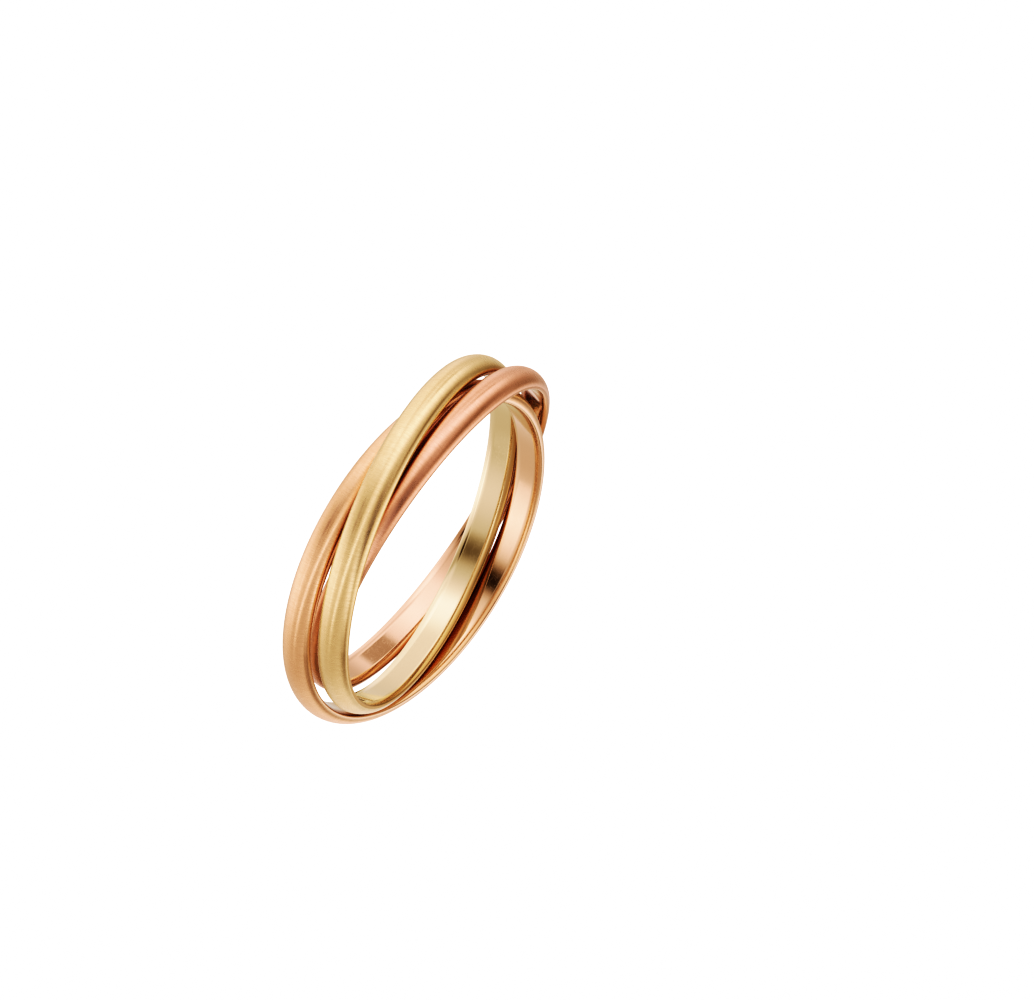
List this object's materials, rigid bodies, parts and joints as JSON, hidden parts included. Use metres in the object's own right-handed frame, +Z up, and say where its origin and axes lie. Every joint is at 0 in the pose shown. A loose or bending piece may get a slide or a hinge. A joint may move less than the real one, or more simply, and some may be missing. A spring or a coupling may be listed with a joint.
{
  "type": "wedding ring",
  "caption": "Rolling wedding ring of interlocked gold bands, yellow, apricot and rose, each domed and satin outside and polished inside; it lies on its side.",
  "frame": {"origin": "middle of the ring's outline, on the surface that it lies on", "axes": "+Z up out of the surface, along the finger's direction; -Y towards the picture's camera; +X to its right"},
  "size_m": [0.023, 0.0226, 0.0046],
  "materials": {
    "yellow_gold": "yellow gold, satin outside, polished inside",
    "apricot_gold": "apricot gold, satin outside, polished inside",
    "rose_gold": "rose gold, satin outside, polished inside"
  },
  "bodies": {
    "yellow": {"yellow_band": "yellow_gold"},
    "apricot": {"apricot_band": "apricot_gold"},
    "rose": {"rose_band": "rose_gold"}
  },
  "joints": [
    {"name": "apricot_roll", "type": "hinge", "parent": "yellow", "child": "apricot", "pos_m": [0.00075, 0.00022, 0.0023], "axis": [0.006, -0.1373, 0.9905], "continuous": true},
    {"name": "rose_roll", "type": "hinge", "parent": "yellow", "child": "rose", "pos_m": [-0.00077, 0.00063, 0.00209], "axis": [0.0686, 0.0944, 0.9932], "continuous": true}
  ]
}
